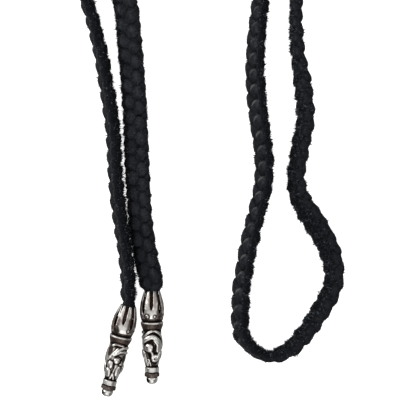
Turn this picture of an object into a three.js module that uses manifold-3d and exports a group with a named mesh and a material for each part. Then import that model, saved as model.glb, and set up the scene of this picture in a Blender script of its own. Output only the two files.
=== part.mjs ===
// A braided leather lariat: one cord of four plaited laces, doubled on itself. The fold is the bight
// at the right, and the two free ends at the left wear cast silver tips. It lies on a table and is
// seen from above: +X to the right, +Y towards the neck, +Z up, in millimetres.

import * as THREE from 'three';
import { mergeVertices } from 'three/addons/utils/BufferGeometryUtils.js';
import Module from 'manifold-3d';

const wasm = await Module();
wasm.setup();

// The braid is a flat oval bundle whose laces cross in four columns
const BRAID_THICKNESS = 3.6;
const BRAID_SIDES = 8;
const SHOULDER = { across: 0.7, through: 0.98 }; // its columns, as shares of the half sizes
const CROSSING_PITCH = 5.1; // from one crossing to the next in the same column
const LOBE_RISE = 0.07; // share of the half sizes by which a crossing stands out
const SEAM_SINK = 0.04; // and by which the seams between the columns lie back
const TABLE_PRESS = 0.4; // depth to which the table flattens the underside
const HALVES_GAP = 0.5; // where the two halves of the cord meet

// Where a tip grips the braid, it is gathered to a round neck
const NECK_RADIUS = 1.87;
const NECK_INSIDE = 7.4; // length of neck in the tip's socket
const GATHER_LENGTH = 6; // over which the braid narrows to the neck, most of it near the mouth
const RISE_LENGTH = 16; // over which it lifts from the table to the tip's middle

// The casting, measured along its axis from the mouth of its cap
const TIP_LENGTH = 31;
const TIP_SIDES = 20;
const CAP_RADIUS = 4.1;
const SOCKET_DEPTH = 8.4;
const PRONG_COUNT = 8;
const SLOT_WIDTH = 1.25;
const SHORT_SLOT = 6.2;
const LONG_SLOT = 7.4;
const SLOT_FOOT = 1.8; // length over which a slot rounds off
const SLOT_ARC_STEPS = 4;
const EYE_RISE = 0.12;
const EYE_SIDES = 8;
const RIDGE_SIDES = 5;
const RIDGE_STEP = 1.8;
const RIDGE_SINK = 0.1;
const BEAD_SIDES = 10;
const BEAD_RINGS = 4;
const BEAD_SINK = 0.5;

// The routes are measured from the middle of the view, and the origin is under the box's middle
const ORIGIN = { x: -5.867, y: 81.888 };

// The cord's middle line over the table. Roll is how far the grain side leans to the right of the
// way along the cord: 0 lies flat, 90 stands on its edge. Width is the braid's own, across its flat
// side: it spreads where it lies flat and draws in where it stands.
const INNER_ROUTE = [
  // x, y, roll, width
  [-18.6, -34.8, -17, 7.8],
  [-18.6, -27.4, -17, 7.8],
  [-18.9, -24, -17, 7.8],
  [-19.9, -20, -17, 7.9],
  [-21.6, -12, -17, 7.9],
  [-22.8, -2, -17, 7.9],
  [-23.4, 9, -17, 7.9],
  [-24, 22, -17, 7.9],
  [-24.5, 34, -17, 7.9],
  [-25.4, 46.5, -17, 7.9],
  [-26.4, 57.5, -17, 7.9],
  [-27.7, 69.3, -16, 8],
  [-31.6, 84.5, -12, 8.2],
  [-40, 101.5, -7, 8.1],
  [-51.5, 120, -2, 8],
  [-60, 141, 4, 7.9],
  [-61.5, 164, 8, 7.8],
  [-54, 186, 12, 7.7],
  [-38, 202.5, 16, 7.6],
  [-16, 210.5, 20, 7.5],
  [7, 209.5, 25, 7.4],
  [28, 199.5, 30, 7.3],
  [43, 181.5, 36, 7.2],
  [49.5, 159, 42, 7.2],
  [47, 136, 48, 7.2],
  [37.5, 114.5, 54, 7.2],
  [26.5, 96.5, 58, 7.2],
  [20, 82.5, 60, 7.2],
  [17.6, 69.3, 55, 6.5],
  [16, 55, 55, 7.2],
  [15.7, 44.3, 56, 7.8],
  [16.8, 31, 57, 8.1],
  [18.4, 19.3, 57, 7.9],
  [18.6, 9.3, 58, 7.7],
  [16.7, 0.3, 58, 6.8],
  [13.9, -10.7, 58, 7.1],
  [12.2, -20, 58, 7.3],
  [10.9, -29.5, 60, 8],
  [11.6, -43, 66, 7.6],
  [19.5, -49.5, 84, 7.2],
];
const OUTER_ROUTE = [
  // x, y, roll, width
  [19.5, -49.5, 84, 7.2],
  [26.4, -47.7, 104, 7.2],
  [31.7, -42.7, 116, 7.3],
  [36, -36.7, 122, 7.4],
  [39.6, -30.8, 126, 7.1],
  [41.9, -24.8, 128, 7],
  [41.8, -18.8, 130, 7.4],
  [39.3, -11.3, 138, 7.8],
  [35.1, -4, 142, 7.9],
  [31, 2.8, 134, 7.3],
  [29.4, 9.5, 124, 6.8],
  [30.6, 19, 124, 7],
  [32.5, 29.5, 124, 7.2],
  [31.9, 39.5, 118, 7.2],
  [29.9, 53, 100, 7.2],
  [29.6, 69.3, 90, 7.2],
  [32.4, 84, 88, 7.2],
  [44.5, 103.5, 86, 7.2],
  [58, 129.5, 84, 7.2],
  [62.5, 158, 82, 7.2],
  [55.5, 188, 80, 7.2],
  [36, 212.5, 78, 7.2],
  [5, 223.5, 76, 7.2],
  [-27, 220, 75, 7.2],
  [-56, 201.5, 75, 7.2],
  [-72.5, 170.5, 75, 7.2],
  [-72, 140, 75, 7.2],
  [-59, 109.5, 75, 7.2],
  [-40.7, 69.3, 76, 7.2],
  [-37.8, 60, 73, 7.2],
  [-35.2, 48, 69, 7.2],
  [-33.2, 36, 66, 7.2],
  [-31.6, 24, 66, 7.2],
  [-31, 12, 66, 7.2],
  [-29.9, 0, 66, 7.2],
  [-28.1, -12, 66, 7.2],
  [-27, -20, 66, 7.2],
  [-26.6, -27.3, 66, 7.2],
  [-26.4, -32.4, 66, 7.2],
  [-28.17, -39.59, 66, 7.2],
];

// Each tip: the middle of its mouth, how far it leans clockwise from straight down, and which side
// of the casting it turns up
const TIPS = [
  { name: 'tip_right', mouth: [-18.6, -27.4], lean: 0, turn: 0 },
  { name: 'tip_left', mouth: [-26.4, -32.4], lean: 13.8, turn: 180 },
];

// The casting's outline, from the mouth of the cap to the end of the bullet, and its socket's
const TIP_OUTLINE = [
  // along, radius
  [0, 2.75],
  [2, 3.35],
  [4, 3.9],
  [6, CAP_RADIUS],
  [8, 4.05],
  [9.6, 3.6],
  [10.2, 3.4],
  [10.5, 3.8],
  [11, 3.8],
  [12, 3.5],
  [13, 3.1],
  [14.5, 3.15],
  [17.5, 3.3],
  [20.5, 3],
  [23, 2.6],
  [25.1, 2.05],
  [25.5, 2.35],
  [26.8, 2.35],
  [27.1, 2.2],
  [27.4, 2.5],
  [28.4, 2.5],
  [28.7, 1.8],
  [29.3, 1.95],
  [30.2, 1.8],
  [30.8, 1.3],
  [TIP_LENGTH, 0.7],
  [TIP_LENGTH, 0],
];
const SOCKET_OUTLINE = [
  // along, radius
  [-1, 2.2],
  [0, 2.45],
  [4, 3.2],
  [6.5, 3.2],
  [SOCKET_DEPTH, 2.4],
  [SOCKET_DEPTH, 0],
];

// Scrollwork raised on the body. A ridge runs through points of distance along the axis and angle
// round it, from the side that the right tip turns up.
const RIDGES = [
  {
    name: 'outer arc',
    width: 0.85,
    path: [[16.7, 166], [15.4, 205], [15.3, 250], [15.6, 290], [15.2, 309]],
  },
  { name: 'front arc', width: 0.85, path: [[15.2, 309], [13.5, 348], [13, 374], [13.6, 399]] },
  { name: 'side arc', width: 0.85, path: [[13.6, 39], [14.9, 68], [17, 85], [19.2, 88]] },
  {
    name: 'crescent',
    width: 1.4,
    path: [[16.4, -49], [15.6, -25], [15.1, 6], [16, 35], [17.6, 54], [19.2, 60]],
  },
  { name: 'comma', width: 1.3, path: [[20.3, -5], [21.7, 7], [22.5, 24], [21.9, 44], [20.4, 58]] },
  { name: 'leaf', width: 0.85, path: [[20.2, -58], [22.4, -57], [24.6, -58]] },
  { name: 'right leg', width: 0.6, path: [[22.7, -20], [25, -6]] },
  { name: 'left leg', width: 0.6, path: [[22.7, -23], [25, -38]] },
  {
    name: 'back arc',
    width: 0.8,
    path: [[14.8, 128], [13.9, 142], [13.1, 164], [13, 190], [13.2, 212]],
  },
  { name: 'slant', width: 0.6, path: [[18.8, 132], [16.4, 160], [14.4, 184]] },
  { name: 'broad arc', width: 1, path: [[16, 182], [14.6, 200], [13.9, 222], [13.8, 268]] },
  { name: 'back right leg', width: 0.6, path: [[22.9, 190], [25, 208]] },
  { name: 'back left leg', width: 0.6, path: [[22.9, 190], [25, 172]] },
];

// Round and oval beads between the ridges: half their length along the axis, half their width round
// it, and how far they stand out
const BEADS = [
  { name: 'knob', along: 18.7, turn: -16, long: 1.4, wide: 1.5, rise: 0.6 },
  { name: 'body of the comma', along: 22.2, turn: 26, long: 1.3, wide: 1.4, rise: 0.5 },
  { name: 'back knob', along: 18.3, turn: 194, long: 1, wide: 1, rise: 0.5 },
  { name: 'side bead', along: 18.9, turn: 226, long: 0.8, wide: 0.7, rise: 0.4 },
  { name: 'oval bead', along: 20, turn: 158, long: 1.4, wide: 1, rise: 0.5 },
  { name: 'left lobe', along: 22.7, turn: 148, long: 1.6, wide: 1.1, rise: 0.45 },
  { name: 'right lobe', along: 21.8, turn: 219, long: 1.8, wide: 0.9, rise: 0.45 },
  { name: 'side lobe', along: 21.4, turn: 108, long: 1.6, wide: 0.9, rise: 0.45 },
  { name: 'far lobe', along: 21, turn: 262, long: 1.6, wide: 0.9, rise: 0.45 },
];

// Round bosses at the feet of the prongs
const EYES = [
  // along, turn, radius
  [8.3, -22, 1.1],
  [8.3, 17, 0.75],
  [8.3, 67, 0.8],
  [8.3, 112, 0.7],
  [8, 213, 0.8],
  [8.3, 248, 0.8],
  [8.3, 292, 0.7],
];

const radians = THREE.MathUtils.degToRad;
const lerp = THREE.MathUtils.lerp;

// A closed mesh as a solid, without the empty triangles at the poles, and a solid as a mesh again
function toSolid(geometry) {
  const bare = geometry.clone();
  bare.deleteAttribute('normal');
  bare.deleteAttribute('uv');
  const merged = mergeVertices(bare, 1e-4);
  const corners = merged.index.array;
  const kept = [];
  for (let i = 0; i < corners.length; i += 3) {
    const [a, b, c] = corners.slice(i, i + 3);
    if (a !== b && b !== c && c !== a) kept.push(a, b, c);
  }
  const vertProperties = new Float32Array(merged.attributes.position.array);
  const triVerts = new Uint32Array(kept);
  return new wasm.Manifold(new wasm.Mesh({ numProp: 3, vertProperties, triVerts }));
}

function toGeometry(solid) {
  const mesh = solid.getMesh();
  const geometry = new THREE.BufferGeometry();
  geometry.setAttribute('position', new THREE.BufferAttribute(mesh.vertProperties, 3));
  geometry.setIndex(new THREE.BufferAttribute(mesh.triVerts, 1));
  geometry.computeVertexNormals();
  return geometry;
}

// The whole cord's middle line over the table, through both halves, and where along it they meet
const ROUTE = [...INNER_ROUTE, ...OUTER_ROUTE.slice(1)];
const ROUTE_STEPS = 50; // measured between two rows
const routePoints = ROUTE.map(([x, y]) => new THREE.Vector3(x - ORIGIN.x, y - ORIGIN.y, 0));
const cord = new THREE.CatmullRomCurve3(routePoints, false, 'centripetal');
cord.arcLengthDivisions = ROUTE_STEPS * (ROUTE.length - 1);
const CORD_LENGTH = cord.getLength();
const MEETING = cord.getLengths()[ROUTE_STEPS * (INNER_ROUTE.length - 1)];

// Roll and width at a share of the cord's length, between the rows of the route
function sectionAt(share) {
  const place = cord.getUtoTmapping(share) * (ROUTE.length - 1);
  const row = Math.min(Math.floor(place), ROUTE.length - 2);
  const [, , rollFrom, widthFrom] = ROUTE[row];
  const [, , rollTo, widthTo] = ROUTE[row + 1];
  const roll = radians(lerp(rollFrom, rollTo, place - row));
  return { roll, width: lerp(widthFrom, widthTo, place - row) };
}

// One corner of the braid's section, across and through it. Side counts eighths of a turn from its
// right edge, and a column's crossing stands out at every second ring.
function braidCorner(side, ring, width, gather) {
  const angle = (side * 2 * Math.PI) / BRAID_SIDES;
  const isColumn = side % 2 === 1;
  const isOver = (ring + (side - 1) / 2) % 2 === 0;
  const lobe = isOver ? 1 + LOBE_RISE : 1 - LOBE_RISE;
  const across = isColumn ? SHOULDER.across * lobe * Math.sign(Math.cos(angle)) : Math.cos(angle);
  const through = isColumn ? SHOULDER.through * lobe * Math.sign(Math.sin(angle)) : Math.sin(angle);
  const sink = isColumn ? 1 : 1 - SEAM_SINK;
  return {
    across: lerp((width / 2) * sink * across, NECK_RADIUS * Math.cos(angle), gather),
    through: lerp((BRAID_THICKNESS / 2) * sink * through, NECK_RADIUS * Math.sin(angle), gather),
  };
}

// Rings of corners closed into a tube, with a flat face on each end
function tubeFromRings(positions, sides) {
  const rings = positions.length / 3 / sides;
  const index = [];
  for (let ring = 0; ring < rings - 1; ring += 1) {
    for (let side = 0; side < sides; side += 1) {
      const next = (side + 1) % sides;
      const a = ring * sides + side;
      const d = ring * sides + next;
      index.push(a, a + sides, d + sides, a, d + sides, d);
    }
  }
  const last = (rings - 1) * sides;
  for (let side = 1; side < sides - 1; side += 1) {
    index.push(0, side, side + 1, last, last + side + 1, last + side);
  }
  const geometry = new THREE.BufferGeometry();
  geometry.setAttribute('position', new THREE.Float32BufferAttribute(positions, 3));
  geometry.setIndex(index);
  geometry.computeVertexNormals();
  return geometry;
}

// A stretch of the cord. An end of the whole cord is gathered and lifted into its tip, and the ends
// at the meeting are cut square. Rings stand half a crossing apart, counted from the meeting.
function braid(first, last) {
  const steps = Math.round((last - first) / (CROSSING_PITCH / 2));
  const positions = [];
  for (let step = 0; step <= steps; step += 1) {
    const travelled = lerp(first, last, step / steps);
    const share = travelled / CORD_LENGTH;
    const middle = cord.getPointAt(share);
    const along = cord.getTangentAt(share);
    const right = new THREE.Vector3(along.y, -along.x, 0).normalize();
    const { roll, width } = sectionAt(share);
    const fromMouth = Math.min(travelled, CORD_LENGTH - travelled) - NECK_INSIDE;
    const gather = (1 - THREE.MathUtils.clamp(fromMouth / GATHER_LENGTH, 0, 1)) ** 3;
    const lift = 1 - THREE.MathUtils.smoothstep(fromMouth, 0, RISE_LENGTH);
    const standing = (width / 2) * Math.abs(Math.sin(roll));
    const leaning = SHOULDER.across * standing;
    const lying = SHOULDER.through * (BRAID_THICKNESS / 2) * Math.abs(Math.cos(roll));
    const halfHeight = Math.max(standing, leaning + lying);
    const height = lerp(halfHeight - TABLE_PRESS, CAP_RADIUS, lift);
    const ring = first < MEETING ? steps - step : step;
    for (let side = 0; side < BRAID_SIDES; side += 1) {
      const { across, through } = braidCorner(side, ring, width, gather);
      const outward = across * Math.cos(roll) + through * Math.sin(roll);
      const upward = through * Math.cos(roll) - across * Math.sin(roll);
      const corner = middle.clone().addScaledVector(right, outward);
      positions.push(corner.x, corner.y, Math.max(height + upward, 0));
    }
  }
  return tubeFromRings(positions, BRAID_SIDES);
}

// A solid of revolution about the casting's axis, which runs down -Y from the mouth
function turned(outline, sides) {
  const points = outline.map(([along, radius]) => new THREE.Vector2(radius, -along));
  points.unshift(new THREE.Vector2(0, -outline[0][0]));
  return toSolid(new THREE.LatheGeometry(points.reverse(), sides));
}

// The casting's radius at a place along its axis
function tipRadius(along) {
  const row = TIP_OUTLINE.findIndex(([place]) => place > along);
  const [from, to] = [TIP_OUTLINE[row - 1], TIP_OUTLINE[row]];
  return lerp(from[1], to[1], (along - from[0]) / (to[0] - from[0]));
}

// A point over the casting's surface
function onTip(along, turn, radius) {
  const angle = radians(turn);
  return new THREE.Vector3(radius * Math.sin(angle), -along, radius * Math.cos(angle));
}

// A slot between two prongs, open at the mouth and round at its foot
function slot(depth, turn) {
  const half = SLOT_WIDTH / 2;
  const outline = new THREE.Shape();
  outline.moveTo(half, 1);
  outline.lineTo(-half, 1);
  outline.lineTo(-half, SLOT_FOOT - depth);
  outline.absellipse(0, SLOT_FOOT - depth, half, SLOT_FOOT, Math.PI, 2 * Math.PI, false);
  outline.closePath();
  const settings = { depth: CAP_RADIUS, bevelEnabled: false, curveSegments: SLOT_ARC_STEPS };
  const cutter = new THREE.ExtrudeGeometry(outline, settings);
  cutter.translate(0, 0, 1);
  cutter.rotateY(radians(turn));
  return toSolid(cutter);
}

// A round boss on the cap
function eye([along, turn, radius]) {
  const height = 1;
  const boss = new THREE.CylinderGeometry(0.75 * radius, radius, height, EYE_SIDES);
  boss.rotateX(Math.PI / 2);
  boss.translate(0, -along, tipRadius(along) + EYE_RISE - height / 2);
  boss.rotateY(radians(turn));
  return toSolid(boss);
}

// A rounded ridge that follows the body
function ridge({ width, path }) {
  const points = path.map(([along, turn]) => onTip(along, turn, tipRadius(along) - RIDGE_SINK));
  const curve = new THREE.CatmullRomCurve3(points);
  const outline = new THREE.Shape();
  for (let side = 0; side < RIDGE_SIDES; side += 1) {
    const angle = (side * 2 * Math.PI) / RIDGE_SIDES;
    const corner = new THREE.Vector2((width / 2) * Math.cos(angle), (width / 2) * Math.sin(angle));
    if (side === 0) outline.moveTo(corner.x, corner.y);
    else outline.lineTo(corner.x, corner.y);
  }
  outline.closePath();
  const steps = Math.ceil(curve.getLength() / RIDGE_STEP);
  return toSolid(new THREE.ExtrudeGeometry(outline, { steps, extrudePath: curve }));
}

// An oval bead standing out of the body
function bead({ along, turn, long, wide, rise }) {
  const ball = new THREE.SphereGeometry(1, BEAD_SIDES, BEAD_RINGS);
  ball.scale(wide, long, rise + BEAD_SINK);
  ball.translate(0, -along, tipRadius(along) - BEAD_SINK);
  ball.rotateY(radians(turn));
  return toSolid(ball);
}

// The cast tip: prongs cut into its cap over the socket, and all its relief in one solid
function castTip() {
  let tip = turned(TIP_OUTLINE, TIP_SIDES);
  tip = tip.subtract(turned(SOCKET_OUTLINE, TIP_SIDES));
  const prongTurn = 360 / PRONG_COUNT;
  for (let prong = 0; prong < PRONG_COUNT; prong += 1) {
    tip = tip.subtract(slot(prong % 2 === 0 ? SHORT_SLOT : LONG_SLOT, prong * prongTurn));
  }
  EYES.forEach((row) => {
    tip = tip.add(eye(row));
  });
  RIDGES.forEach((row) => {
    tip = tip.add(ridge(row));
  });
  BEADS.forEach((row) => {
    tip = tip.add(bead(row));
  });
  return toGeometry(tip);
}

function leather() {
  return new THREE.MeshStandardMaterial({ color: 0x17171a, roughness: 0.75, metalness: 0 });
}

function silver() {
  return new THREE.MeshStandardMaterial({ color: 0xc9c6c0, roughness: 0.3, metalness: 1 });
}

const necklace = new THREE.Group();

const braidInner = new THREE.Mesh(braid(0, MEETING - HALVES_GAP / 2), leather());
braidInner.name = 'braid_inner';
necklace.add(braidInner);

const braidOuter = new THREE.Mesh(braid(MEETING + HALVES_GAP / 2, CORD_LENGTH), leather());
braidOuter.name = 'braid_outer';
necklace.add(braidOuter);

TIPS.forEach(({ name, mouth, lean, turn }) => {
  const seat = new THREE.Group();
  seat.position.set(mouth[0] - ORIGIN.x, mouth[1] - ORIGIN.y, CAP_RADIUS);
  seat.rotation.z = radians(-lean);
  const tip = new THREE.Mesh(castTip(), silver());
  tip.name = name;
  tip.rotation.y = radians(turn);
  seat.add(tip);
  necklace.add(seat);
});

export default necklace;
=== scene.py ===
# %% [markdown]
# # A braided leather lariat with cast silver tips
# The necklace is one long cord of four plaited deerskin laces. It lies doubled on a white table, with
# the fold at the right and two silver-tipped ends at the left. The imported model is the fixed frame:
# it says where everything lies, and every length below is in metres in that same frame.

# %% Load the frame
import math
import bmesh
import bpy
import numpy as np
from mathutils import Matrix, Vector


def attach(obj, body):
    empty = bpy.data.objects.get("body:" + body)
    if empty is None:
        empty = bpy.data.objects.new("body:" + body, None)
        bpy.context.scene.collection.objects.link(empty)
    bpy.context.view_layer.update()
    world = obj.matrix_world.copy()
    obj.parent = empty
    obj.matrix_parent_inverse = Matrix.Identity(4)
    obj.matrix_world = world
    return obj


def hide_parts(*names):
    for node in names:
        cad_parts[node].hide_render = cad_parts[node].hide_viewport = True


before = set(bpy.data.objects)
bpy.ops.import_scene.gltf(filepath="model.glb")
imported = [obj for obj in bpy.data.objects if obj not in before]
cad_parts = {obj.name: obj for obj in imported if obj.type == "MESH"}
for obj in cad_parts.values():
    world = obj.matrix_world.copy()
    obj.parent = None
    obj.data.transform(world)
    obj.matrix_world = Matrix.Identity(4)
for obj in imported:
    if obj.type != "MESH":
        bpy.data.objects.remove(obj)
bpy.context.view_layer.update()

print("nodes", sorted(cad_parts))

# %% [markdown]
# ## Small helpers
# A scene begins with no materials and no meshes, so a few small functions are worth having. One turns
# a screen colour into the linear values that shaders use, one adds a node with its settings and links,
# and one makes a mesh object out of arrays of points and faces. Another keeps a number with each point
# of a mesh, by which a material can tell where the leather is worn. A smooth step from 0 to 1 is used
# wherever one shape or finish fades into another.

# %% Helpers
def colour(hex_code):
    """Linear values of a screen colour."""
    channels = [int(hex_code[i:i + 2], 16) / 255 for i in (1, 3, 5)]
    linear = [c / 12.92 if c <= 0.04045 else ((c + 0.055) / 1.055) ** 2.4 for c in channels]
    return (*linear, 1.0)


def add_node(tree, kind, settings=None, **links):
    """Adds a node. Settings are its own properties, links are sockets: a number, a colour or an output."""
    node = tree.nodes.new(kind)
    for name, value in (settings or {}).items():
        setattr(node, name, value)
    for name, value in links.items():
        key = int(name[1:]) if name[1:].isdigit() else name.replace("_", " ")
        if isinstance(value, bpy.types.NodeSocket):
            tree.links.new(value, node.inputs[key])
        else:
            node.inputs[key].default_value = value
    return node


def new_material(name):
    """A material with an empty node tree, and that tree."""
    material = bpy.data.materials.new(name)
    material.use_nodes = True
    material.node_tree.nodes.clear()
    return material, material.node_tree


def mesh_piece(name, points, faces, material):
    """A smooth mesh object in the scene."""
    mesh = bpy.data.meshes.new(name)
    mesh.from_pydata(points.tolist(), [], faces.tolist())
    mesh.polygons.foreach_set("use_smooth", np.ones(len(mesh.polygons), bool))
    mesh.materials.append(material)
    mesh.update()
    piece = bpy.data.objects.new(name, mesh)
    bpy.context.scene.collection.objects.link(piece)
    print(name, len(mesh.vertices), "points,", len(mesh.loops) - 2 * len(mesh.polygons), "triangles")
    return piece


def give_value(piece, name, values):
    """Keeps one number for each point of a mesh, which a material can read by its name."""
    layer = piece.data.attributes.new(name, "FLOAT", "POINT")
    layer.data.foreach_set("value", np.asarray(values, np.float32).ravel())


def smooth_step(value, low, high):
    """0 up to low, 1 from high on, and a soft rise between them."""
    share = np.clip((value - low) / (high - low), 0, 1)
    return share * share * (3 - 2 * share)


# the paler grain colour, which is painted on the lace tops as light
print("raised grain in linear light:", [round(c, 4) for c in colour("#323338")[:3]])

# %% [markdown]
# ## Camera
# The necklace lies flat and is seen straight from above. A longish lens keeps the tall silver tips
# from leaning outwards. The view is a square that shows 139 mm of the table, so the camera's height
# follows from the lens, the sensor and that width.

# %% Camera
ORIGIN = (-0.005867, 0.081888)  # the part's origin, measured from the middle of the view
VIEW_WIDTH = 0.13867  # of the table that shows
LENS, SENSOR = 85, 36  # in millimetres
MID_HEIGHT = 0.003  # over the table, at which the view has that width
view_middle = Vector((-ORIGIN[0], -ORIGIN[1], 0))

camera_data = bpy.data.cameras.new("camera")
camera_data.lens = LENS
camera_data.sensor_width = SENSOR
camera_data.clip_start = 0.01
camera = bpy.data.objects.new("camera", camera_data)
camera.location = view_middle + Vector((0, 0, MID_HEIGHT + VIEW_WIDTH * LENS / SENSOR))
bpy.context.scene.collection.objects.link(camera)
bpy.context.scene.camera = camera
print("camera height", round(camera.location.z, 4))

# %% [markdown]
# ## Table and light
# The table is a light table: a white sheet that glows, so that no shadow shows on it, with a white
# backdrop behind it. Polished silver shows only what it reflects, so the light is a tent: a wide softbox
# overhead makes broad white reflections, a strong one at the upper left gives the sparkle, and the dim
# room draws a dark line down the silver's sides. A bright sheet or backdrop would wash that line out.
# So light path nodes let reflections see the sheet and the room dimmer than the camera does, as dark
# cards round a photographer's table would.

# %% Table
TABLE_HALF = 4.0  # half the sheet's side, so that a low view doesn't show its edge
MIRRORED_GLOW = 0.35  # of the sheet in reflections, where the camera sees 1

bpy.context.scene.view_settings.view_transform = "Standard"
# White acrylic lit from below, which gives the eye an even white with no shadow
sheet, sheet_tree = new_material("white light table")
glow = add_node(
    sheet_tree, "ShaderNodeBsdfPrincipled",
    Base_Color=colour("#f4f4f4"), Roughness=0.9,
    Emission_Color=(1, 1, 1, 1), Emission_Strength=1.0)
mirrored = add_node(sheet_tree, "ShaderNodeEmission", Strength=MIRRORED_GLOW)
sheet_ray = add_node(sheet_tree, "ShaderNodeLightPath")
seen_sheet = add_node(
    sheet_tree, "ShaderNodeMixShader",
    i0=sheet_ray.outputs["Is Glossy Ray"], i1=glow.outputs[0], i2=mirrored.outputs[0])
add_node(sheet_tree, "ShaderNodeOutputMaterial", Surface=seen_sheet.outputs[0])
corners = TABLE_HALF * np.array([[-1, -1, 0], [1, -1, 0], [1, 1, 0], [-1, 1, 0]])
table = mesh_piece("table", corners, np.array([[0, 1, 2, 3]]), sheet)

# %% Light
SOFTBOXES = (
    # name, place from the view's middle, side, brightness
    ("overhead softbox", (-0.05, 0.10, 0.60), 1.25, 0.72),
    ("upper left softbox", (-0.60, 0.28, 0.26), 0.45, 4),
    ("right softbox", (0.55, 0.05, 0.40), 0.35, 1.5),
    ("front softbox", (0.00, -0.55, 0.35), 0.60, 1.3),
)
for name, place, side, brightness in SOFTBOXES:
    lamp = bpy.data.lights.new(name, "AREA")
    lamp.size = side
    lamp.energy = brightness * math.pi * side * side
    holder = bpy.data.objects.new(name, lamp)
    holder.location = view_middle + Vector(place)
    holder.rotation_euler = (view_middle - holder.location).to_track_quat("-Z", "Y").to_euler()
    bpy.context.scene.collection.objects.link(holder)

room = bpy.data.worlds.new("dim room with a white backdrop")
room.use_nodes = True
room_tree = room.node_tree
room_tree.nodes.clear()
dim_room = add_node(room_tree, "ShaderNodeBackground", Color=colour("#c8c8c8"), Strength=0.2)
backdrop = add_node(room_tree, "ShaderNodeBackground", Color=colour("#ffffff"), Strength=1.0)
room_ray = add_node(room_tree, "ShaderNodeLightPath")
seen_room = add_node(
    room_tree, "ShaderNodeMixShader",
    i0=room_ray.outputs["Is Camera Ray"], i1=dim_room.outputs[0], i2=backdrop.outputs[0])
add_node(room_tree, "ShaderNodeOutputWorld", Surface=seen_room.outputs[0])
bpy.context.scene.world = room
print("softboxes", len(SOFTBOXES))

# %% [markdown]
# ## The way the cord lies
# Points along the cord's middle line, from the right tip up one leg, round the neck, down to the fold,
# and back outside it to the left tip. Each row also says how far the cord is rolled over and how wide
# its flat side is there. A Bezier curve object could carry the same points, but arrays also give the
# distance along the cord, which every later step needs. A Catmull-Rom curve runs through all the points,
# as it does in the part's source, so the laces lie where the solids are.

# %% Route
INNER_ROUTE = (
    # x, y, roll, width
    (-0.0186, -0.0348, -17, 0.0078),
    (-0.0186, -0.0274, -17, 0.0078),
    (-0.0189, -0.024, -17, 0.0078),
    (-0.0199, -0.02, -17, 0.0079),
    (-0.0216, -0.012, -17, 0.0079),
    (-0.0228, -0.002, -17, 0.0079),
    (-0.0234, 0.009, -17, 0.0079),
    (-0.024, 0.022, -17, 0.0079),
    (-0.0245, 0.034, -17, 0.0079),
    (-0.0254, 0.0465, -17, 0.0079),
    (-0.0264, 0.0575, -17, 0.0079),
    (-0.0277, 0.0693, -16, 0.008),
    (-0.0316, 0.0845, -12, 0.0082),
    (-0.04, 0.1015, -7, 0.0081),
    (-0.0515, 0.12, -2, 0.008),
    (-0.06, 0.141, 4, 0.0079),
    (-0.0615, 0.164, 8, 0.0078),
    (-0.054, 0.186, 12, 0.0077),
    (-0.038, 0.2025, 16, 0.0076),
    (-0.016, 0.2105, 20, 0.0075),
    (0.007, 0.2095, 25, 0.0074),
    (0.028, 0.1995, 30, 0.0073),
    (0.043, 0.1815, 36, 0.0072),
    (0.0495, 0.159, 42, 0.0072),
    (0.047, 0.136, 48, 0.0072),
    (0.0375, 0.1145, 54, 0.0072),
    (0.0265, 0.0965, 58, 0.0072),
    (0.02, 0.0825, 60, 0.0072),
    (0.0176, 0.0693, 55, 0.0065),
    (0.016, 0.055, 55, 0.0072),
    (0.0157, 0.0443, 56, 0.0078),
    (0.0168, 0.031, 57, 0.0081),
    (0.0184, 0.0193, 57, 0.0079),
    (0.0186, 0.0093, 58, 0.0077),
    (0.0167, 0.0003, 58, 0.0068),
    (0.0139, -0.0107, 58, 0.0071),
    (0.0122, -0.02, 58, 0.0073),
    (0.0109, -0.0295, 60, 0.008),
    (0.0116, -0.043, 66, 0.0076),
    (0.0195, -0.0495, 84, 0.0072),
)
OUTER_ROUTE = (
    # x, y, roll, width
    (0.0195, -0.0495, 84, 0.0072),
    (0.0264, -0.0477, 104, 0.0072),
    (0.0317, -0.0427, 116, 0.0073),
    (0.036, -0.0367, 122, 0.0074),
    (0.0396, -0.0308, 126, 0.0071),
    (0.0419, -0.0248, 128, 0.007),
    (0.0418, -0.0188, 130, 0.0074),
    (0.0393, -0.0113, 138, 0.0078),
    (0.0351, -0.004, 142, 0.0079),
    (0.031, 0.0028, 134, 0.0073),
    (0.0294, 0.0095, 124, 0.0068),
    (0.0306, 0.019, 124, 0.007),
    (0.0325, 0.0295, 124, 0.0072),
    (0.0319, 0.0395, 118, 0.0072),
    (0.0299, 0.053, 100, 0.0072),
    (0.0296, 0.0693, 90, 0.0072),
    (0.0324, 0.084, 88, 0.0072),
    (0.0445, 0.1035, 86, 0.0072),
    (0.058, 0.1295, 84, 0.0072),
    (0.0625, 0.158, 82, 0.0072),
    (0.0555, 0.188, 80, 0.0072),
    (0.036, 0.2125, 78, 0.0072),
    (0.005, 0.2235, 76, 0.0072),
    (-0.027, 0.22, 75, 0.0072),
    (-0.056, 0.2015, 75, 0.0072),
    (-0.0725, 0.1705, 75, 0.0072),
    (-0.072, 0.14, 75, 0.0072),
    (-0.059, 0.1095, 75, 0.0072),
    (-0.0407, 0.0693, 76, 0.0072),
    (-0.0378, 0.06, 73, 0.0072),
    (-0.0352, 0.048, 69, 0.0072),
    (-0.0332, 0.036, 66, 0.0072),
    (-0.0316, 0.024, 66, 0.0072),
    (-0.031, 0.012, 66, 0.0072),
    (-0.0299, 0, 66, 0.0072),
    (-0.0281, -0.012, 66, 0.0072),
    (-0.027, -0.02, 66, 0.0072),
    (-0.0266, -0.0273, 66, 0.0072),
    (-0.0264, -0.0324, 66, 0.0072),
    (-0.02817, -0.03959, 66, 0.0072),
)


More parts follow.
